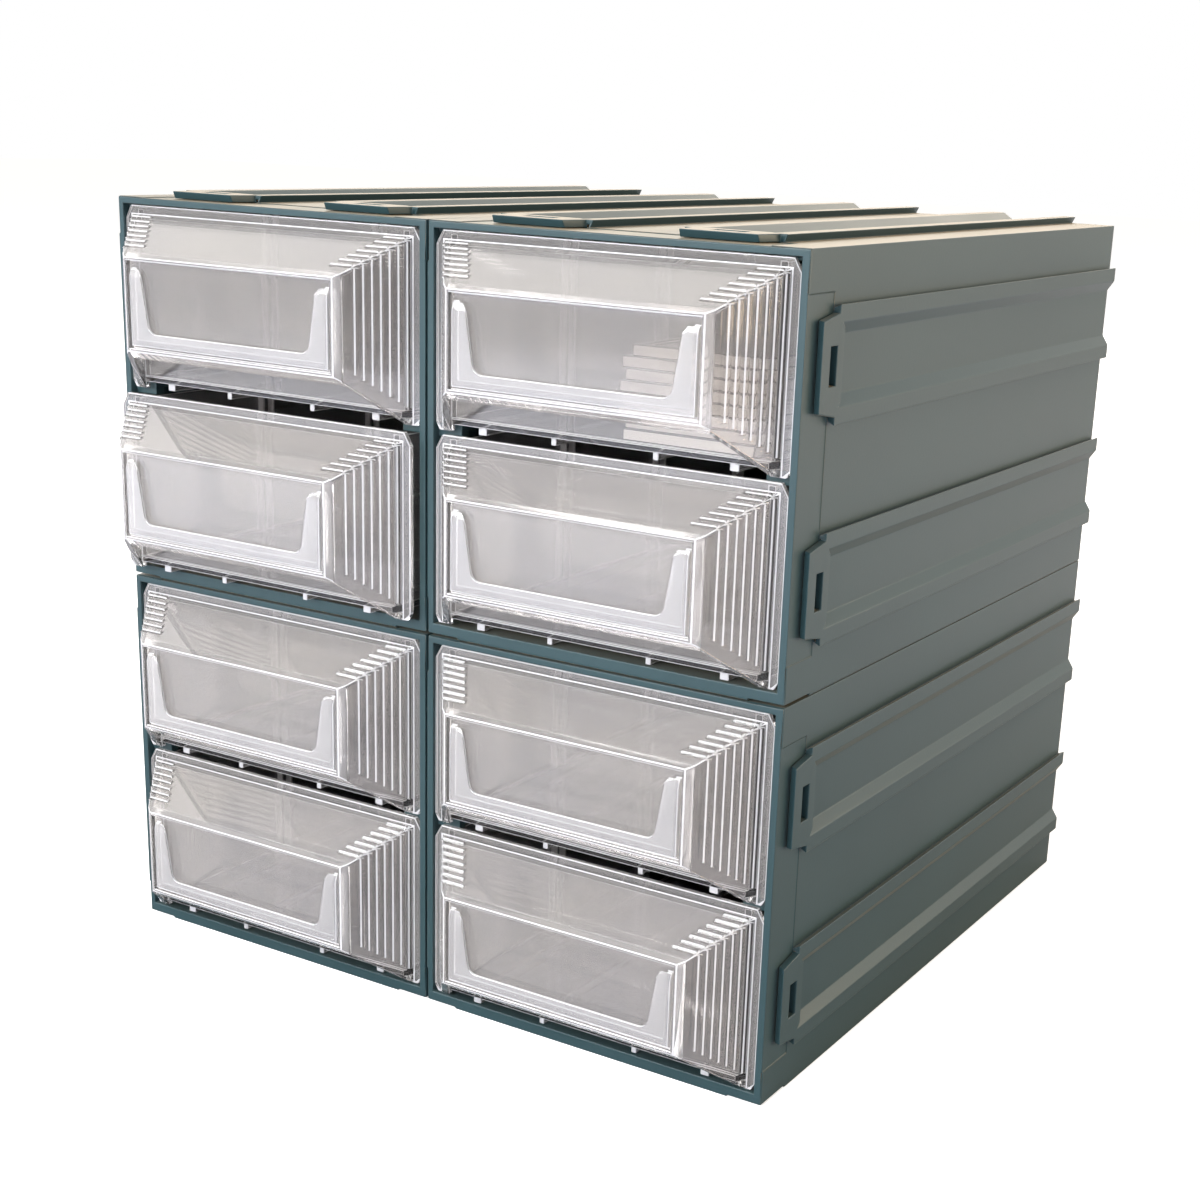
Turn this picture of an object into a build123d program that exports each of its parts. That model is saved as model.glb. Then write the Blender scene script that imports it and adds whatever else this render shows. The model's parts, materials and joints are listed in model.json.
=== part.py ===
from build123d import *
import os

# Small parts drawer organizer: four interlocking cabinets, eight clear drawers and a stack of
# divider plates. X runs to the right, Y runs from the front of the cabinets to their backs, Z is up.
# Everything is in millimetres. The origin is the bottom centre of the object's own box.

# Cabinet shell
cabinet_width = 111.8
cabinet_height = 111.3
cabinet_depth = 218.0
side_wall = 2.3
top_wall = 2.0
floor_wall = 3.5
back_wall = 2.0
seam_gap = 0.2
edge_bevel = 0.35

# Rails on the right side and top of each cabinet, and the grooves that take them
rail_height = 2.0
rail_half_width = 14.6
rail_undercut = 1.0
rib_land = 4.3
rib_slope = 3.0
rail_start = 13.8
rail_clearance = 0.25
groove_skin = 1.6

# Clip plate that joins the front ends of the two ribs of a rail
clip_front = 5.0
clip_half_width = 10.9
clip_flare = 1.6
window_start = 9.6
window_end = 13.3
window_half_width = 4.85
snap_height = 1.3

# Shallow face around the clips, and the relieved corners of the grooved sides
face_margin = 10.5
face_recess = 0.2
relief_depth = 0.6

# Ledges that carry the upper drawer, and stop lugs that end the travel
ledge_overlap = 3.0
ledge_thickness = 1.8
lug_length = 3.0
lug_clearance = 0.5
lug_overlap = 0.6

# Drawer front
rim_clearance = 0.3
rim_side_clearance = 0.2
rim_spacing = 1.2
rim_recess = 0.8
rim_thickness = 1.6
rim_band = 2.5
rim_top_bevel_width = 2.2
rim_top_bevel_height = 3.7
rim_foot_bevel_width = 1.2
rim_foot_bevel_height = 2.2

# Tray
tray_side_gap = 3.25
tray_wall = 1.6
tray_floor = 1.6
tray_back_gap = 4.0
tray_corner = 4.0
tray_drop = 1.3
floor_rise = 2.0
floor_lip = 0.8
outer_runner_inset = 11.0
outer_runner_width = 2.6
inner_runner_place = 15.4
inner_runner_width = 1.6
seat_clearance = 0.25
closing_gap = 0.125

# Divider slots and the plates that fit them
compartments = 4
slot_rib_width = 1.0
slot_rib_depth = 1.8
divider_thickness = 3.0
divider_web = 1.4
divider_drop = 9.0
divider_bead = 2.2
divider_clearance = 0.4
divider_sag_gap = 0.05
stop_tab_gap = 1.0
stop_tab_length = 4.0

# The stack of spare plates: its gaps in the tray, and how far each plate has slid, from the bottom up
stack_front_gap = 1.0
stack_side_gap = 3.2
plate_shifts = (0.0, 0.6, -0.7, 0.4, -0.9, 0.7, -0.3, 2.6)

# Hood, the finger pull in front of the tray
hood_reach = 16.0
hood_wall = 1.6
hood_lip_height = 13.0
hood_drop = 13.0
hood_taper = 11.6
hood_corner_width = 1.8
hood_corner_depth = 1.4
foot_overlap = 0.8

# Label frame on the hood plate
plate_border = 0.9
plate_recess = 1.5
label_side_gap = 0.8
label_foot = 1.7
label_head = 2.3
label_arm_top = 4.4
label_arm_foot = 7.0
label_arm_bevel_width = 1.1
label_arm_bevel_height = 1.7
label_sill = 3.7
label_corner = 3.0
label_slot = 0.7
label_slot_margin = 1.5
label_lead_in = 2.3

# Grip ribs on the sides and top of the hood
grip_count = 7
grip_pitch = 1.88
grip_first = 11.6
grip_width = 1.5
grip_height = 0.45
grip_root = 0.3
grip_top_length = 7.5
grip_edge_gap = 0.5
grip_foot_gap = 4.0

# Rest position of the drawer that stands a little open
ajar_pull = 4.5
ajar_drawer = "drawer_left_2"

# Names of the cabinets by column and row, and of the drawers by column and level from the top
columns = ("left", "right")
rows = ("bottom", "top")
loaded_drawer = "drawer_right_1"

# Sizes that follow from the ones above
pitch_x = cabinet_width + seam_gap
pitch_z = cabinet_height + seam_gap
inner_width = cabinet_width - 2 * side_wall
inner_height = cabinet_height - floor_wall - top_wall
groove_depth = rail_height - seam_gap + rail_clearance
rail_base_half = rail_half_width - rail_undercut
groove_mouth_half = rail_base_half + rail_undercut * seam_gap / rail_height + rail_clearance
groove_root_half = rail_base_half + rail_undercut * (groove_depth + seam_gap) / rail_height + rail_clearance
groove_front = clip_front - rail_clearance
rim_width = inner_width - 2 * rim_side_clearance
rim_height = (inner_height - 2 * rim_clearance - rim_spacing) / 2
drawer_pitch = rim_height + rim_spacing
rim_back = rim_recess + rim_thickness
tray_back = cabinet_depth - back_wall - tray_back_gap
tray_top = rim_height - tray_drop
tray_width = cabinet_width - 2 * (groove_depth + groove_skin + tray_side_gap)
floor_top = floor_rise + tray_floor
tray_inner_width = tray_width - 2 * tray_wall
tray_inner_length = tray_back - tray_wall - rim_back
ledge_reach = (cabinet_width - tray_width) / 2 + ledge_overlap
stop_front = rim_back + closing_gap
slot_gap = divider_thickness + divider_clearance
slot_pitch = tray_inner_length / compartments
slot_places = [rim_back + slot_pitch * step for step in range(1, compartments)]
stop_tab_front = slot_places[-1] + slot_gap / 2 + slot_rib_width + stop_tab_gap
lug_bottom = tray_top + lug_clearance
tab_top = lug_bottom + lug_overlap
hood_face = -hood_reach
hood_top = rim_height - hood_drop
hood_shoulder = rim_height - rim_band
hood_back_half = rim_width / 2 - rim_band
hood_side_half = hood_back_half - hood_taper
hood_face_half = hood_side_half - hood_corner_width
pocket_half = hood_face_half - plate_border
plate_back = hood_face + plate_recess + hood_wall
label_half_width = pocket_half - label_side_gap
divider_length = tray_inner_width - 2 * seat_clearance
divider_height = tray_top - floor_top - divider_drop

# The object's own box, which puts the origin at its bottom centre
block_width = len(columns) * pitch_x - seam_gap + rail_height
block_front = hood_face - ajar_pull
shift_x = -block_width / 2
shift_y = -(cabinet_depth + block_front) / 2


def box(x0, x1, y0, y1, z0, z1):
    """A block between two corners."""
    middle = Pos((x0 + x1) / 2, (y0 + y1) / 2, (z0 + z1) / 2)
    return middle * Box(x1 - x0, y1 - y0, z1 - z0)


def prism_along_y(points, y0, y1):
    """An outline of (x, z) points, drawn from y0 to y1."""
    face = Plane.XZ * make_face(Polyline(*points, close=True))
    return Pos(0, y0, 0) * extrude(face, amount=-(y1 - y0))


def prism_along_x(points, x0, x1):
    """An outline of (y, z) points, drawn from x0 to x1."""
    face = Plane.YZ * make_face(Polyline(*points, close=True))
    return Pos(x0, 0, 0) * extrude(face, amount=x1 - x0)


def prism_along_z(points, z0, z1):
    """An outline of (x, y) points, drawn from z0 to z1."""
    face = make_face(Polyline(*points, close=True))
    return Pos(0, 0, z0) * extrude(face, amount=z1 - z0)


def rail_on_top():
    """One rail standing on z = 0 along y, centred on x = 0: two ribs and the clip plate."""
    land = rail_half_width - rib_land
    rail = Part()
    for side in (-1, 1):
        rib = [
            (side * rail_base_half, 0),
            (side * rail_half_width, rail_height),
            (side * land, rail_height),
            (side * (land - rib_slope), 0),
        ]
        rail += prism_along_y(rib, rail_start, cabinet_depth)
    flared = clip_half_width + clip_flare
    plate = [
        (-clip_half_width, clip_front),
        (clip_half_width, clip_front),
        (flared, rail_start),
        (land - rib_slope / 2, rail_start + rib_slope),
        (-land + rib_slope / 2, rail_start + rib_slope),
        (-flared, rail_start),
    ]
    rail += prism_along_z(plate, 0, rail_height)
    undercut = [(clip_front, -1), (clip_front, rail_height), (clip_front + rail_undercut, 0)]
    undercut.append((clip_front + rail_undercut, -1))
    rail -= prism_along_x(undercut, -clip_half_width - 1, clip_half_width + 1)
    window = box(-window_half_width, window_half_width, window_start, window_end, 0, 2 * rail_height)
    return rail - window


def groove_from_below():
    """The space of one groove that opens at z = 0 and at the back, centred on x = 0."""
    outline = [
        (-groove_mouth_half, -1),
        (-groove_mouth_half, 0),
        (-groove_root_half, groove_depth),
        (groove_root_half, groove_depth),
        (groove_mouth_half, 0),
        (groove_mouth_half, -1),
    ]
    groove = prism_along_y(outline, groove_front, cabinet_depth + 1)
    half = window_half_width - 2 * rail_clearance
    start = window_start + rail_clearance
    end = window_end - rail_clearance
    snap = [(start, groove_depth), (end, groove_depth), (end, groove_depth - snap_height)]
    return groove - prism_along_x(snap, -half, half)


def onto_right_side(shape, z):
    """Turns a shape built on z = 0 to stand on the cabinet's right side at height z."""
    return Pos(cabinet_width, 0, z) * Rot(0, 90, 0) * shape


def onto_left_side(shape, z):
    """Turns a space that opens at z = 0 to open through the cabinet's left side at height z."""
    return Pos(0, 0, z) * Rot(0, 90, 0) * shape


def shallow_face():
    """The slab that is taken off a railed side between its corner margins, built on z = 0."""
    half = cabinet_height / 2 - face_margin
    return box(-half, half, -1, rail_start, -face_recess, 1)


def corner_reliefs(length):
    """The slabs that are taken off the two front corners of a grooved side of this length."""
    reliefs = Part()
    for start in (-1, length - face_margin):
        reliefs += box(start, start + face_margin + 1, -1, rail_start, -1, relief_depth)
    return reliefs


def lower_rim_bottom():
    """The height of the lower drawer's rim above the cabinet's own bottom."""
    return floor_wall + rim_clearance


def upper_rim_bottom():
    """The height of the upper drawer's rim above the cabinet's own bottom."""
    return lower_rim_bottom() + drawer_pitch


def ledges_and_lugs():
    """The runner ledges of the upper drawer and the stop lugs of both drawers, on both sides."""
    ledge_top = upper_rim_bottom() + floor_rise - seat_clearance
    ledge_bottom = ledge_top - ledge_thickness
    inner_top = cabinet_height - top_wall
    pieces = Part()
    for side in (0, 1):
        x0 = cabinet_width - ledge_reach if side else side_wall
        x1 = cabinet_width - side_wall if side else ledge_reach
        pieces += box(x0, x1, stop_front, cabinet_depth - back_wall, ledge_bottom, ledge_top)
        lug_end = stop_front + lug_length
        pieces += box(x0, x1, stop_front, lug_end, lower_rim_bottom() + lug_bottom, ledge_bottom)
        pieces += box(x0, x1, stop_front, lug_end, upper_rim_bottom() + lug_bottom, inner_top)
    return pieces


def make_cabinet():
    """One cabinet with its lower left front corner at the origin."""
    shell = box(0, cabinet_width, 0, cabinet_depth, 0, cabinet_height)
    front_edges = shell.faces().sort_by(Axis.Y)[0].edges()
    shell = chamfer(front_edges, edge_bevel)
    shell -= box(
        side_wall,
        cabinet_width - side_wall,
        -1,
        cabinet_depth - back_wall,
        floor_wall,
        cabinet_height - top_wall,
    )
    rail_heights = (cabinet_height / 4, 3 * cabinet_height / 4)
    rail_places = (cabinet_width / 4, 3 * cabinet_width / 4)
    pad_half = groove_root_half + groove_skin
    for z in rail_heights:
        pad_front = groove_front - groove_skin
        pad_inner = groove_depth + groove_skin
        shell += box(
            side_wall, pad_inner, pad_front, cabinet_depth - back_wall, z - pad_half, z + pad_half
        )
    shell += ledges_and_lugs()
    shell -= onto_right_side(shallow_face(), cabinet_height / 2)
    shell -= Pos(cabinet_width / 2, 0, cabinet_height) * shallow_face()
    shell -= Pos(0, 0, cabinet_height) * Rot(0, 90, 0) * corner_reliefs(cabinet_height)
    shell -= corner_reliefs(cabinet_width)
    for z in rail_heights:
        shell += onto_right_side(rail_on_top(), z)
        shell -= onto_left_side(groove_from_below(), z)
    for x in rail_places:
        shell += Pos(x, 0, cabinet_height) * rail_on_top()
        shell -= Pos(x, 0, 0) * groove_from_below()
    return shell


def rim_plate():
    """The flat front of the drawer: the tray's front wall and the band around it."""
    half = rim_width / 2
    outline = [
        (-half, rim_foot_bevel_height),
        (-half, rim_height - rim_top_bevel_height),
        (-half + rim_top_bevel_width, rim_height),
        (half - rim_top_bevel_width, rim_height),
        (half, rim_height - rim_top_bevel_height),
        (half, rim_foot_bevel_height),
        (half - rim_foot_bevel_width, 0),
        (-half + rim_foot_bevel_width, 0),
    ]
    plate = prism_along_y(outline, rim_recess, rim_back)
    foot_half = tray_width / 2 - foot_overlap
    return plate - box(-foot_half, foot_half, -1, rim_back + 1, -1, floor_rise)


def tray():
    """The open box behind the front, with slot ribs, stop tabs and runner ribs."""
    half = tray_width / 2
    length = tray_back - rim_recess
    middle_y = (rim_recess + tray_back) / 2
    solid = Pos(0, middle_y, (floor_rise + tray_top) / 2) * Box(tray_width, length, tray_top - floor_rise)
    rear_edges = solid.edges().filter_by(Axis.Z).group_by(Axis.Y)[-1]
    solid = fillet(rear_edges, tray_corner)
    inner_half = half - tray_wall
    inner_y0 = rim_back
    inner_y1 = tray_back - tray_wall
    hollow = box(-inner_half, inner_half, inner_y0, inner_y1, floor_top, rim_height)
    inner_rear = hollow.edges().filter_by(Axis.Z).group_by(Axis.Y)[-1]
    hollow = fillet(inner_rear, tray_corner - tray_wall)
    solid -= hollow
    for side in (-1, 1):
        for place in slot_places:
            for step in (-1, 1):
                y_mid = place + step * (slot_gap + slot_rib_width) / 2
                x0, x1 = sorted((side * (inner_half - slot_rib_depth), side * inner_half))
                y0 = y_mid - slot_rib_width / 2
                solid += box(x0, x1, y0, y0 + slot_rib_width, floor_top, tray_top)
        x0, x1 = sorted((side * inner_half, side * half))
        tab = [
            (stop_tab_front, tray_top),
            (stop_tab_front, tab_top),
            (stop_tab_front + stop_tab_length / 2, tab_top),
            (stop_tab_front + stop_tab_length, tray_top),
        ]
        solid += prism_along_x(tab, x0, x1)
        runners = [(half - outer_runner_inset, outer_runner_width), (inner_runner_place, inner_runner_width)]
        for place, width in runners:
            x0 = side * place - width / 2
            solid += box(x0, x0 + width, rim_recess, tray_back - tray_corner, 0, floor_rise)
    solid += box(-half, half, rim_recess - floor_lip, rim_recess, floor_rise, floor_rise + tray_floor)
    return solid


def hood_plan(inset):
    """The hood's outline seen from above, drawn in by a wall on the sides."""
    corner_y = hood_face + hood_corner_depth
    return [
        (-hood_back_half + inset, rim_recess),
        (-hood_side_half + inset, corner_y),
        (-hood_face_half + inset, hood_face),
        (hood_face_half - inset, hood_face),
        (hood_side_half - inset, corner_y),
        (hood_back_half - inset, rim_recess),
    ]


def grip_ribs():
    """Ribs up both sides of the hood and over the edges of its top, before they are trimmed."""
    ribs = Part()
    run = rim_recess - hood_face - hood_corner_depth
    slope = hood_taper / run
    fall = (hood_shoulder - hood_top) / (rim_recess - hood_face)
    half = grip_width / 2
    crest = grip_width / 4
    root = grip_root
    for step in range(grip_count):
        y = -grip_first + step * grip_pitch
        side_x = hood_back_half - slope * (rim_recess - y)
        top_z = hood_shoulder - fall * (rim_recess - y)
        low_z = hood_lip_height * (1 - (y - hood_face) / (rim_recess - hood_face))
        for side in (-1, 1):
            plan = [
                (side * (side_x - half * slope - root), y - half),
                (side * (side_x - half * slope), y - half),
                (side * (side_x - crest * slope + grip_height), y - crest),
                (side * (side_x + crest * slope + grip_height), y + crest),
                (side * (side_x + half * slope), y + half),
                (side * (side_x + half * slope - root), y + half),
            ]
            ribs += prism_along_z(plan, low_z + grip_foot_gap, top_z - grip_edge_gap)
            profile = [
                (y - half, top_z - half * fall - root),
                (y - half, top_z - half * fall),
                (y - crest, top_z - crest * fall + grip_height),
                (y + crest, top_z + crest * fall + grip_height),
                (y + half, top_z + half * fall),
                (y + half, top_z + half * fall - root),
            ]
            outer = side_x - grip_edge_gap
            x0, x1 = sorted((side * (outer - grip_top_length), side * outer))
            ribs += prism_along_x(profile, x0, x1)
    return ribs


def label_frame():
    """The raised U on the hood plate, with a slot behind its arms that takes a label."""
    z0 = hood_lip_height + label_foot
    z1 = hood_top - plate_border - label_head
    sill = z0 + label_sill
    back = hood_face + plate_recess
    top_half = label_half_width - label_arm_top
    foot_half = label_half_width - label_arm_foot
    frame = box(-label_half_width, label_half_width, hood_face, back, z0, z1)
    lead = [(hood_face, z1 - label_lead_in), (hood_face, z1), (back - label_slot, z1)]
    frame -= prism_along_x(lead, -label_half_width, label_half_width)
    wide_half = top_half + 2 * label_arm_bevel_width
    bevel = label_arm_bevel_height
    outline = [
        (-wide_half, z1 + bevel),
        (-top_half, z1 - bevel),
        (-foot_half, sill),
        (foot_half, sill),
        (top_half, z1 - bevel),
        (wide_half, z1 + bevel),
    ]
    opening = prism_along_y(outline, hood_face - 1, back + 1)
    foot_edges = opening.edges().filter_by(Axis.Y).group_by(Axis.Z)[0]
    frame -= fillet(foot_edges, label_corner)
    slot_half = label_half_width - label_slot_margin
    slot_y = back - label_slot
    frame -= box(-slot_half, slot_half, slot_y, back + 1, z0 + label_slot_margin, z1 + 1)
    return frame


def hood():
    """The hood with its recessed plate: open below, so fingers reach in behind the plate."""
    profile = [
        (rim_recess, 0),
        (hood_face, hood_lip_height),
        (hood_face, hood_top),
        (rim_recess, hood_shoulder),
    ]
    half = rim_width
    body = prism_along_z(hood_plan(0), -1, rim_height) & prism_along_x(profile, -half, half)
    fall = (hood_shoulder - hood_top) / (rim_recess - hood_face)
    drop = hood_wall * (1 + fall * fall) ** 0.5
    top_inside = hood_top - drop + fall * (plate_back - hood_face)
    inner_profile = [
        (rim_recess + 1, -rim_height),
        (plate_back, -rim_height),
        (plate_back, top_inside),
        (rim_recess + 1, hood_shoulder - drop + fall),
    ]
    lean = ((rim_recess - hood_face - hood_corner_depth) ** 2 + hood_taper**2) ** 0.5
    inset = hood_wall * lean / (rim_recess - hood_face - hood_corner_depth)
    inner_plan = hood_plan(inset)
    inner_plan[0] = (inner_plan[0][0], rim_recess + 1)
    inner_plan[-1] = (inner_plan[-1][0], rim_recess + 1)
    space = prism_along_z(inner_plan, -rim_height, rim_height)
    space &= prism_along_x(inner_profile, -half, half)
    body -= space
    pocket_z0 = hood_lip_height + plate_border
    pocket_z1 = hood_top - plate_border
    back = hood_face + plate_recess
    body -= box(-pocket_half, pocket_half, hood_face - 1, back, pocket_z0, pocket_z1)
    body += label_frame()
    body += grip_ribs()
    return body


def make_drawer():
    """One drawer, centred on x = 0, with its rim's lowest edge at z = 0."""
    drawer = rim_plate() + tray() + hood()
    return drawer


def make_divider():
    """A divider plate lying flat on z = 0, its length along y, with beaded edges."""
    plate = box(
        -divider_height / 2, divider_height / 2, -divider_length / 2, divider_length / 2, 0, divider_thickness
    )
    pocket_x = divider_height / 2 - divider_bead
    pocket_y = divider_length / 2 - divider_bead
    depth = (divider_thickness - divider_web) / 2
    for z in (0, divider_thickness - depth):
        plate -= box(-pocket_x, pocket_x, -pocket_y, pocket_y, z, z + depth)
    return plate


def write(shape, name):
    """Checks that a piece is one solid, and writes it to its own file."""
    solids = shape.solids()
    piece = solids[0]
    piece.label = name
    print(name, "solids", len(solids), "volume", round(piece.volume))
    export_step(piece, f"parts/{name}.step")


def place(shape, x, y, z):
    """Moves a piece from block coordinates to the object's own frame."""
    return Pos(x + shift_x, y + shift_y, z) * shape


os.makedirs("parts", exist_ok=True)
cabinet = make_cabinet()
drawer = make_drawer()
divider = make_divider()

for column, column_name in enumerate(columns):
    for row, row_name in enumerate(rows):
        write(place(cabinet, column * pitch_x, 0, row * pitch_z), f"cabinet_{column_name}_{row_name}")
        for upper in (0, 1):
            level = 2 * len(rows) - (2 * row + upper)
            name = f"drawer_{column_name}_{level}"
            x = column * pitch_x + cabinet_width / 2
            y = -ajar_pull if name == ajar_drawer else 0
            z = row * pitch_z + lower_rim_bottom() + upper * drawer_pitch
            write(place(drawer, x, y, z), name)
            if name == loaded_drawer:
                reach = tray_inner_width / 2 - slot_rib_depth - divider_height / 2
                stack_x = x + reach - stack_side_gap
                stack_y = y + rim_back + stack_front_gap + divider_length / 2
                stack_z = z + floor_top + divider_sag_gap

for number, shift in enumerate(plate_shifts):
    z = stack_z + number * (divider_thickness + divider_sag_gap)
    write(place(divider, stack_x + shift, stack_y, z), f"divider_plate_{number + 1}")
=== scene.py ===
import json
import math

import bmesh
import bpy
from mathutils import Matrix, Vector


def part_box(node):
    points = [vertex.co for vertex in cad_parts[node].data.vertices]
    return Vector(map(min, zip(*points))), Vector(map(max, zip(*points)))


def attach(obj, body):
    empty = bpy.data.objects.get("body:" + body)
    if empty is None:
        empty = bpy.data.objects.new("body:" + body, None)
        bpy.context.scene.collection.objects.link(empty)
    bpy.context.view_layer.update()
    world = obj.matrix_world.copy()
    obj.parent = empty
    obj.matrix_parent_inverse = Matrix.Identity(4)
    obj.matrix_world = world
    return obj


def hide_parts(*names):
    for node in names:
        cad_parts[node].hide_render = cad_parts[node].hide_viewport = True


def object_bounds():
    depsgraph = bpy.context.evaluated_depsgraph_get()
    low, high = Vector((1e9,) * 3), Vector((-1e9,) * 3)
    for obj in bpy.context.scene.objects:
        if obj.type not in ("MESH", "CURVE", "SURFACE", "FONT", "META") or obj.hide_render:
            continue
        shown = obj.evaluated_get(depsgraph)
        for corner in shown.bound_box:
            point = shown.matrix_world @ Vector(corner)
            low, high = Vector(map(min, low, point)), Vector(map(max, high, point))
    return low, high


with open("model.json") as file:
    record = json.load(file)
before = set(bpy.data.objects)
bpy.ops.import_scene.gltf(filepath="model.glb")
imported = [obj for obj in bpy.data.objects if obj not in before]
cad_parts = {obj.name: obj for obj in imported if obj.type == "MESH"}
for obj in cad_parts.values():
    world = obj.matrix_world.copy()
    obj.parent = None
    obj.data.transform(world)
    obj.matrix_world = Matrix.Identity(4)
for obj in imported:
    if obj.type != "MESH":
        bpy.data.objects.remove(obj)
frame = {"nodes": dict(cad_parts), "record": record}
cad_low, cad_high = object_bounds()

# A parts organizer of four interlocking cabinets with eight clear drawers. One drawer holds a stack
# of spare divider plates. The drawers open towards -Y. Lengths are in metres.

mm = 0.001
middle = (cad_low + cad_high) / 2

# Rounded edges of the moulded pieces: their widths, and the angle between faces that makes an edge
cabinet_edge = 0.25 * mm
drawer_edge = 0.25 * mm
divider_edge = 0.30 * mm
edge_segments = 2
sharp_angle = math.radians(25)

# How strongly the largest face at an edge sets the shading there, so that flat faces look flat
largest_face_weight = 100

# The CAD's triangles are joined where they lie flat, and its points where they meet
flat_angle = math.radians(0.5)
merge_distance = 0.01 * mm

# Places on a drawer: depths from its foremost point, heights from its lowest one, half widths from
# its middle. The hood's sides and top widen towards the cabinet by their slopes.
label_half_width = 35.8 * mm
label_low = 14.7 * mm
label_high = 35.8 * mm
label_depth = 1.45 * mm
hood_length = 16.0 * mm
hood_corner_depth = 1.4 * mm
hood_side_half = 39.3 * mm
hood_side_slope = 11.6 / 15.4
hood_top_height = 39.0 * mm
hood_top_slope = 10.5 / 16.8
rib_root = 0.22 * mm
groove_below_top = 1.2 * mm
groove_inside_side = 1.6 * mm
front_thickness = 2.4 * mm
tray_inner_half = 47.4 * mm
slot_rib_depth = 1.8 * mm
tray_floor_top = 3.6 * mm
runner_height = 2.0 * mm

# How far a face may lie off one of these places and still count as there
slack = 0.1 * mm
front_slack = 0.2 * mm
floor_slack = 0.3 * mm

# The share of a face's normal along an axis from which the face counts as looking that way
barely = 0.3
partly = 0.4
mostly = 0.5
steeply = 0.62
fully = 0.8

# Sizes of the patterns in the plastics. The real grain is about 0.1 mm where the mould is eroded
# and 0.05 mm where it is blasted. Both are too fine to show, so they are drawn coarser here.
eroded_grain = 0.9 * mm
blasted_grain = 0.8 * mm
cabinet_cloud = 45 * mm
flow_wave = 16 * mm
drawer_haze = 30 * mm
label_cloud = 12 * mm
highlight_patch = 5 * mm
divider_haze = 14 * mm

# How much the plastics bend light. The cabinets' value is lower, matched to their dull shine.
cabinet_plastic_ior = 1.49
polystyrene_ior = 1.59

# The colour sockets of a mix node, whose names are shared with its other types
mix_a, mix_b, mix_result = 6, 7, 2

# The camera stands to the right of the front and a little above the cabinets
camera_place = Vector((0.31361, -0.50187, 0.24968))
camera_back = Vector((0.4774, -0.8256, 0.3008))
camera_roll = math.radians(2.42)
camera_lens = 56.85
camera_sensor = 36
camera_shift_x = -0.0648
camera_shift_y = 0.0991
camera_nearest = 0.01

# The studio. Its floor glows where it is seen, to come near white, and in gloss it shows painted
# shade around a spot before the cabinets.
floor_half = 6.0
floor_glow = 0.62
gloss_shade_spot = (-0.05, -0.12, 0)
white = (1, 1, 1, 1)


def linear(hex_colour):
    """Turns an sRGB hex colour into the linear one that shaders take."""
    channels = [int(hex_colour[i : i + 2], 16) / 255 for i in (1, 3, 5)]
    decoded = [c / 12.92 if c <= 0.04045 else ((c + 0.055) / 1.055) ** 2.4 for c in channels]
    return (*decoded, 1.0)


def add(tree, kind, links=(), **settings):
    """Adds a node with its settings, input values by name, and links into its inputs."""
    node = tree.nodes.new(kind)
    for key, value in settings.items():
        if hasattr(node, key):
            setattr(node, key, value)
        else:
            node.inputs[key.replace("_", " ")].default_value = value
    for socket, source in links:
        tree.links.new(source, node.inputs[socket])
    return node


def new_material(name):
    """An empty node material, with its object coordinates ready to use."""
    material = bpy.data.materials.new(name)
    material.use_nodes = True
    tree = material.node_tree
    tree.nodes.clear()
    place = add(tree, "ShaderNodeTexCoord").outputs["Object"]
    return material, tree, place


def spark_eroded_polystyrene():
    """Cabinets: high-impact polystyrene moulded with a fine eroded grain, for a soft grey sheen."""
    material, tree, place = new_material("spark_eroded_polystyrene")
    grain = add(
        tree,
        "ShaderNodeTexNoise",
        links=[("Vector", place)],
        Scale=1 / eroded_grain,
        Detail=3.0,
        Roughness=0.6,
    )
    cloud = add(
        tree,
        "ShaderNodeTexNoise",
        links=[("Vector", place)],
        Scale=1 / cabinet_cloud,
        Detail=2.0,
        Roughness=0.5,
    )
    tint = add(tree, "ShaderNodeMix", data_type="RGBA", links=[("Factor", cloud.outputs["Fac"])])
    tint.inputs[mix_a].default_value = linear("#293F43")
    tint.inputs[mix_b].default_value = linear("#30494E")
    rough = add(
        tree,
        "ShaderNodeMapRange",
        links=[("Value", cloud.outputs["Fac"])],
        To_Min=0.34,
        To_Max=0.44,
    )
    bump = add(
        tree,
        "ShaderNodeBump",
        links=[("Height", grain.outputs["Fac"])],
        Strength=0.35,
        Distance=0.04 * mm,
    )
    shader = add(
        tree,
        "ShaderNodeBsdfPrincipled",
        links=[
            ("Base Color", tint.outputs[mix_result]),
            ("Roughness", rough.outputs["Result"]),
            ("Normal", bump.outputs["Normal"]),
        ],
        IOR=cabinet_plastic_ior,
        Sheen_Weight=0.3,
        Sheen_Roughness=0.3,
        Sheen_Tint=linear("#FFE4BE"),
    )
    add(tree, "ShaderNodeOutputMaterial", links=[("Surface", shader.outputs["BSDF"])])
    return material


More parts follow.
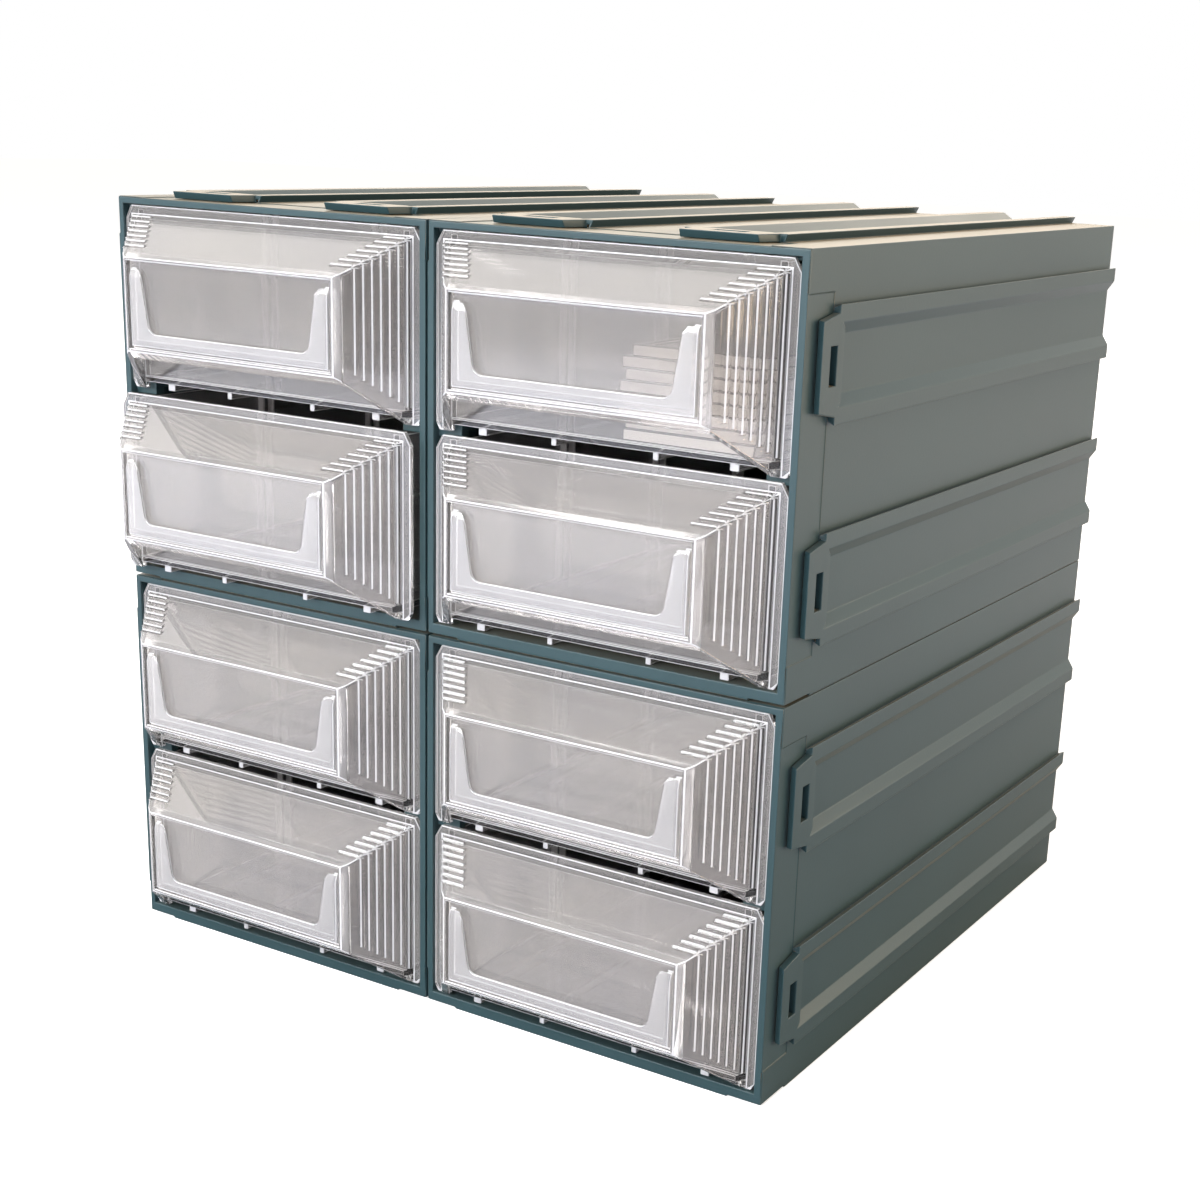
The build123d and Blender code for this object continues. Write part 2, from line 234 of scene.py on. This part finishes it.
def clear_polystyrene(name, clearness):
    """Drawers: polished clear polystyrene, slightly milky, with faint waves from its moulding."""
    material, tree, place = new_material(name)
    waves = add(
        tree,
        "ShaderNodeTexNoise",
        links=[("Vector", place)],
        Scale=1 / flow_wave,
        Detail=2.0,
        Roughness=0.5,
    )
    haze = add(
        tree,
        "ShaderNodeTexNoise",
        links=[("Vector", place)],
        Scale=1 / drawer_haze,
        Detail=3.0,
        Roughness=0.55,
    )
    tint = add(tree, "ShaderNodeMix", data_type="RGBA", links=[("Factor", haze.outputs["Fac"])])
    tint.inputs[mix_a].default_value = linear("#E9E7EA")
    tint.inputs[mix_b].default_value = linear("#F6F2ED")
    rough = add(
        tree,
        "ShaderNodeMapRange",
        links=[("Value", haze.outputs["Fac"])],
        To_Min=0.015,
        To_Max=0.05,
    )
    bump = add(
        tree,
        "ShaderNodeBump",
        links=[("Height", waves.outputs["Fac"])],
        Strength=0.1,
        Distance=0.03 * mm,
    )
    shader = add(
        tree,
        "ShaderNodeBsdfPrincipled",
        links=[
            ("Base Color", tint.outputs[mix_result]),
            ("Roughness", rough.outputs["Result"]),
            ("Normal", bump.outputs["Normal"]),
        ],
        IOR=polystyrene_ior,
        Transmission_Weight=clearness,
    )
    add(tree, "ShaderNodeOutputMaterial", links=[("Surface", shader.outputs["BSDF"])])
    return material


def frosted_polystyrene():
    """Label frames: the same polystyrene from a blasted mould, so it turns white in the light."""
    material, tree, place = new_material("frosted_polystyrene")
    grain = add(
        tree,
        "ShaderNodeTexNoise",
        links=[("Vector", place)],
        Scale=1 / blasted_grain,
        Detail=2.0,
        Roughness=0.6,
    )
    cloud = add(
        tree,
        "ShaderNodeTexNoise",
        links=[("Vector", place)],
        Scale=1 / label_cloud,
        Detail=2.0,
        Roughness=0.5,
    )
    tint = add(tree, "ShaderNodeMix", data_type="RGBA", links=[("Factor", cloud.outputs["Fac"])])
    tint.inputs[mix_a].default_value = linear("#DAD9DB")
    tint.inputs[mix_b].default_value = linear("#E8E7E7")
    bump = add(
        tree,
        "ShaderNodeBump",
        links=[("Height", grain.outputs["Fac"])],
        Strength=0.3,
        Distance=0.05 * mm,
    )
    shader = add(
        tree,
        "ShaderNodeBsdfPrincipled",
        links=[("Base Color", tint.outputs[mix_result]), ("Normal", bump.outputs["Normal"])],
        IOR=polystyrene_ior,
        Roughness=0.2,
        Transmission_Weight=0.72,
    )
    add(tree, "ShaderNodeOutputMaterial", links=[("Surface", shader.outputs["BSDF"])])
    return material


def painted_highlight_polystyrene():
    """Edges, ribs and frame sides of the drawers: a white copy of the plastic, a painted highlight.
    """
    material, tree, place = new_material("painted_highlight_polystyrene")
    highlight_patches = add(
        tree,
        "ShaderNodeTexNoise",
        links=[("Vector", place)],
        Scale=1 / highlight_patch,
        Detail=3.0,
        Roughness=0.6,
    )
    tint = add(tree, "ShaderNodeMix", data_type="RGBA", links=[("Factor", highlight_patches.outputs["Fac"])])
    tint.inputs[mix_a].default_value = linear("#E4E4E8")
    tint.inputs[mix_b].default_value = linear("#FBFBFC")
    shader = add(
        tree,
        "ShaderNodeBsdfPrincipled",
        links=[("Base Color", tint.outputs[mix_result])],
        IOR=polystyrene_ior,
        Roughness=0.10,
        Transmission_Weight=0.40,
    )
    add(tree, "ShaderNodeOutputMaterial", links=[("Surface", shader.outputs["BSDF"])])
    return material


def divider_polystyrene(name, dark, light):
    """Divider plates: clear polystyrene seen edge on, warm and pale; their darker rounded edges are
    painted shade between the plates.
    """
    material, tree, place = new_material(name)
    haze = add(
        tree,
        "ShaderNodeTexNoise",
        links=[("Vector", place)],
        Scale=1 / divider_haze,
        Detail=2.0,
        Roughness=0.5,
    )
    tint = add(tree, "ShaderNodeMix", data_type="RGBA", links=[("Factor", haze.outputs["Fac"])])
    tint.inputs[mix_a].default_value = linear(dark)
    tint.inputs[mix_b].default_value = linear(light)
    shader = add(
        tree,
        "ShaderNodeBsdfPrincipled",
        links=[("Base Color", tint.outputs[mix_result])],
        IOR=polystyrene_ior,
        Roughness=0.14,
        Transmission_Weight=0.1,
    )
    add(tree, "ShaderNodeOutputMaterial", links=[("Surface", shader.outputs["BSDF"])])
    return material


def dressed_copy(node_name, edge, materials, edge_material):
    """A copy of a node's mesh with merged faces and rounded edges, at the node's place."""
    mesh = bpy.data.meshes.new(node_name + "_moulding")
    shape = bmesh.new()
    shape.from_mesh(frame["nodes"][node_name].data)
    bmesh.ops.remove_doubles(shape, verts=shape.verts, dist=merge_distance)
    bmesh.ops.join_triangles(
        shape,
        faces=shape.faces,
        angle_face_threshold=flat_angle,
        angle_shape_threshold=math.pi,
    )
    for face in shape.faces:
        face.smooth = True
    shape.to_mesh(mesh)
    shape.free()
    for material in materials:
        mesh.materials.append(material)
    piece = bpy.data.objects.new(node_name + "_moulding", mesh)
    bpy.context.scene.collection.objects.link(piece)
    bevel = piece.modifiers.new("rounded_edges", "BEVEL")
    bevel.width = edge
    bevel.segments = edge_segments
    bevel.limit_method = "ANGLE"
    bevel.angle_limit = sharp_angle
    bevel.use_clamp_overlap = False
    bevel.miter_outer = "MITER_SHARP"
    bevel.material = edge_material
    flats = piece.modifiers.new("flat_faces", "WEIGHTED_NORMAL")
    flats.mode = "FACE_AREA"
    flats.weight = largest_face_weight
    flats.keep_sharp = False
    evaluated = piece.evaluated_get(bpy.context.evaluated_depsgraph_get())
    rounded = bpy.data.meshes.new_from_object(evaluated)
    piece.modifiers.clear()
    piece.data = rounded
    return piece


def drawer_edge_slot(aside, depth, height, outwards, normal):
    """The slot of a rounded edge: a painted white highlight, but the clearest finish, painted
    shade, between ribs and where it looks away from the front.
    """
    on_hood = hood_corner_depth < depth < hood_length
    above_side = aside - hood_side_half - hood_side_slope * (depth - hood_corner_depth)
    above_top = height - hood_top_height - hood_top_slope * depth
    on_rib = on_hood and (above_side > rib_root or above_top > rib_root)
    lowest_corner = hood_top_height + hood_top_slope * depth - groove_below_top
    inmost_corner = hood_side_half + hood_side_slope * depth - groove_inside_side
    in_side_groove = abs(above_side) < rib_root and height < lowest_corner
    in_top_groove = abs(above_top) < rib_root and aside < inmost_corner
    between_ribs = on_hood and (in_side_groove or in_top_groove)
    turned_away = depth < hood_length and (normal.y > barely or outwards < -barely)
    away_on_rib = on_rib and (normal.y > -steeply or outwards < -barely)
    return painted_shade_slot if turned_away or between_ribs or away_on_rib else painted_highlight_slot


def drawer_face_slot(at_edge, aside, depth, height, outwards, normal):
    """The slot of a drawer's face, from its place and direction in the drawer's own measures."""
    in_hood = depth < hood_length
    in_tray = depth > hood_length + front_thickness
    on_slot_rib = tray_inner_half - slot_rib_depth - slack < aside < tray_inner_half - slack
    # Slot ribs in the tray and the runners' front faces get the painted white highlight
    if in_tray and on_slot_rib and height > tray_floor_top:
        return painted_highlight_slot
    if height < runner_height - slack and normal.y < -mostly and depth > hood_length:
        return painted_highlight_slot
    if at_edge:
        return drawer_edge_slot(aside, depth, height, outwards, normal)
    in_label_width = aside < label_half_width + slack
    in_label_height = label_low - slack < height < label_high + slack
    if in_label_width and in_label_height and depth < label_depth:
        return frosted_slot if abs(normal.y) > mostly else painted_highlight_slot
    if depth < slack:
        return hazy_slot
    # The milkier finish on the hood's corner facets and top is painted light, for the brighter
    # light they catch
    if depth < hood_corner_depth and outwards > partly and normal.y < -partly:
        return painted_light_slot
    # The clearest finish is painted shade, on the hood's sides, the front wall under the hood and
    # the tray's floor
    if in_hood and abs(outwards) > partly:
        return painted_shade_slot
    if height < label_low and hood_length - front_slack < depth < hood_length + front_thickness:
        return painted_shade_slot
    if in_tray and height < tray_floor_top + floor_slack and abs(normal.z) > fully:
        return painted_shade_slot
    if in_tray:
        return hazy_slot
    return painted_light_slot if normal.z > mostly and in_hood else clear_slot


def finish_drawer_faces(piece, node_name):
    """Gives each face of a drawer the finish of its place."""
    low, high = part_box(node_name)
    centre_x = (low.x + high.x) / 2
    for face in piece.data.polygons:
        side = 1 if face.center.x > centre_x else -1
        face.material_index = drawer_face_slot(
            face.material_index == painted_highlight_slot,
            abs(face.center.x - centre_x),
            face.center.y - low.y,
            face.center.z - low.z,
            side * face.normal.x,
            face.normal,
        )


def body_of_node(node_name):
    """The name of the body that a node moves with."""
    bodies = frame["record"]["behaviour"]["bodies"]
    return next(body for body, members in bodies.items() if node_name in members)


def dress(node_name, edge, materials, edge_material):
    """Puts a dressed copy in a node's place, on its body and with its colour slot."""
    piece = dressed_copy(node_name, edge, materials, edge_material)
    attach(piece, body_of_node(node_name))
    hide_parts(node_name)
    return piece


cabinet_plastics = [spark_eroded_polystyrene()]
cabinet_edge_slot = 0
# The second, dark divider finish is painted shade in the gaps between the plates
divider_plastics = [
    divider_polystyrene("divider_polystyrene", dark="#F8F4EC", light="#FFFDF8"),
    divider_polystyrene("divider_gap_shade_polystyrene", dark="#4C4741", light="#5E5850"),
]
divider_gap_shade_slot = 1

# The drawers' one plastic has a finish for each kind of place on a drawer. The white edge finish
# is a painted highlight, the clearest one painted shade, and the milky top one painted light.
drawer_plastics = [
    clear_polystyrene("clear_polystyrene", clearness=0.89),
    clear_polystyrene("hazy_polystyrene", clearness=0.86),
    frosted_polystyrene(),
    painted_highlight_polystyrene(),
    clear_polystyrene("painted_light_polystyrene", clearness=0.80),
    clear_polystyrene("painted_shade_polystyrene", clearness=0.97),
]
clear_slot, hazy_slot, frosted_slot, painted_highlight_slot, painted_light_slot, painted_shade_slot = range(6)

for name in sorted(frame["nodes"]):
    if name.startswith("cabinet"):
        dress(name, cabinet_edge, cabinet_plastics, cabinet_edge_slot)
    elif name.startswith("drawer"):
        drawer = dress(name, drawer_edge, drawer_plastics, painted_highlight_slot)
        finish_drawer_faces(drawer, name)
    else:
        dress(name, divider_edge, divider_plastics, divider_gap_shade_slot)


def rays_that_see(tree):
    """Two sockets: 1 for what is seen, also through clear plastic, and 1 for what gloss shows."""
    path = add(tree, "ShaderNodeLightPath")
    direct = add(
        tree,
        "ShaderNodeMath",
        operation="MAXIMUM",
        links=[(0, path.outputs["Is Camera Ray"]), (1, path.outputs["Is Transmission Ray"])],
    )
    return direct.outputs[0], path.outputs["Is Glossy Ray"]


def make_floor():
    """A wide pale floor: near white where it is seen, slightly blue as a light, painted shade in
    gloss.
    """
    mesh = bpy.data.meshes.new("studio_floor")
    half = floor_half
    corners = [(-half, -half, 0), (half, -half, 0), (half, half, 0), (-half, half, 0)]
    mesh.from_pydata(corners, [], [(0, 1, 2, 3)])
    floor = bpy.data.objects.new("studio_floor", mesh)
    bpy.context.scene.collection.objects.link(floor)
    material, tree, place = new_material("pale_paper")
    paper = add(tree, "ShaderNodeBsdfDiffuse", Color=linear("#E2E5F6")).outputs[0]
    seen_paper = add(tree, "ShaderNodeBsdfDiffuse", Color=linear("#F8F8F8")).outputs[0]
    painted_shade_paper = add(tree, "ShaderNodeBsdfDiffuse", Color=linear("#606060")).outputs[0]
    glow = add(tree, "ShaderNodeEmission", Color=white, Strength=floor_glow).outputs[0]
    seen = add(tree, "ShaderNodeAddShader", links=[(0, seen_paper), (1, glow)]).outputs[0]
    direct, gloss = rays_that_see(tree)
    apart = add(tree, "ShaderNodeVectorMath", operation="DISTANCE", links=[(0, place)])
    apart.inputs[1].default_value = gloss_shade_spot
    share = add(
        tree,
        "ShaderNodeMapRange",
        links=[("Value", apart.outputs["Value"])],
        From_Min=0.05,
        From_Max=0.8,
        To_Min=0.05,
        To_Max=1.0,
    ).outputs["Result"]
    in_gloss = add(tree, "ShaderNodeMixShader", links=[(0, share), (1, painted_shade_paper), (2, paper)])
    unseen = add(
        tree, "ShaderNodeMixShader", links=[(0, gloss), (1, paper), (2, in_gloss.outputs[0])]
    )
    surface = add(
        tree, "ShaderNodeMixShader", links=[(0, direct), (1, unseen.outputs[0]), (2, seen)]
    )
    add(tree, "ShaderNodeOutputMaterial", links=[("Surface", surface.outputs[0])])
    mesh.materials.append(material)


def make_world():
    """White surroundings, dimmer as a light, and in gloss darker overhead and towards the front."""
    world = bpy.data.worlds.new("white_surroundings")
    bpy.context.scene.world = world
    world.use_nodes = True
    tree = world.node_tree
    tree.nodes.clear()
    dim = add(tree, "ShaderNodeBackground", Color=linear("#FFFBF5"), Strength=0.42).outputs[0]
    seen = add(tree, "ShaderNodeBackground", Color=white, Strength=1.0).outputs[0]
    direct, gloss = rays_that_see(tree)
    way = add(tree, "ShaderNodeTexCoord").outputs["Generated"]
    along = add(tree, "ShaderNodeSeparateXYZ", links=[("Vector", way)])
    to_the_back = add(
        tree,
        "ShaderNodeMapRange",
        links=[("Value", along.outputs["Y"])],
        From_Min=-0.9,
        From_Max=0.2,
        To_Min=0.5,
        To_Max=1.0,
    ).outputs["Result"]
    upwards = add(
        tree,
        "ShaderNodeMapRange",
        links=[("Value", along.outputs["Z"])],
        From_Min=0.2,
        From_Max=0.9,
        To_Min=1.0,
        To_Max=0.9,
    ).outputs["Result"]
    level = add(
        tree, "ShaderNodeMath", operation="MULTIPLY", links=[(0, to_the_back), (1, upwards)]
    ).outputs[0]
    mirrored = add(
        tree, "ShaderNodeBackground", links=[("Strength", level)], Color=white
    ).outputs[0]
    unseen = add(tree, "ShaderNodeMixShader", links=[(0, gloss), (1, dim), (2, mirrored)])
    surface = add(
        tree, "ShaderNodeMixShader", links=[(0, direct), (1, unseen.outputs[0]), (2, seen)]
    )
    add(tree, "ShaderNodeOutputWorld", links=[("Surface", surface.outputs[0])])


def add_softbox(name, place, size, power, colour):
    """A rectangular lamp that points at the middle of the cabinets."""
    lamp = bpy.data.lights.new(name, "AREA")
    lamp.color = linear(colour)[:3]
    lamp.shape = "RECTANGLE"
    lamp.size, lamp.size_y = size
    lamp.energy = power
    holder = bpy.data.objects.new(name, lamp)
    bpy.context.scene.collection.objects.link(holder)
    holder.location = place
    holder.rotation_euler = (middle - Vector(place)).to_track_quat("-Z", "Y").to_euler()


def make_camera():
    """A camera that sees the cabinets as the photo's one did."""
    camera = bpy.data.cameras.new("photo_camera")
    camera.lens = camera_lens
    camera.sensor_width = camera_sensor
    camera.sensor_fit = "HORIZONTAL"
    camera.shift_x = camera_shift_x
    camera.shift_y = camera_shift_y
    camera.clip_start = camera_nearest
    holder = bpy.data.objects.new("photo_camera", camera)
    bpy.context.scene.collection.objects.link(holder)
    towards = (-camera_back).to_track_quat("-Z", "Y").to_matrix()
    turn = towards @ Matrix.Rotation(camera_roll, 3, "Z")
    holder.matrix_world = Matrix.Translation(camera_place) @ turn.to_4x4()
    bpy.context.scene.camera = holder


make_floor()
make_world()
add_softbox("side_softbox", (1.5, 0.6, 0.36), size=(1.6, 0.66), power=20, colour="#FFE4BE")
add_softbox("front_softbox", (-0.35, -1.35, 0.8), size=(1.6, 0.8), power=39, colour="#FDFEFF")
add_softbox("overhead_softbox", (-0.75, 0.1, 1.55), size=(2.4, 2.2), power=10, colour="#FFF8EE")
add_softbox("back_softbox", (-0.7, 1.9, 0.95), size=(2.2, 0.7), power=12, colour="#FFF4E2")
make_camera()

bpy.context.scene.view_settings.view_transform = "Standard"

bpy.context.view_layer.update()
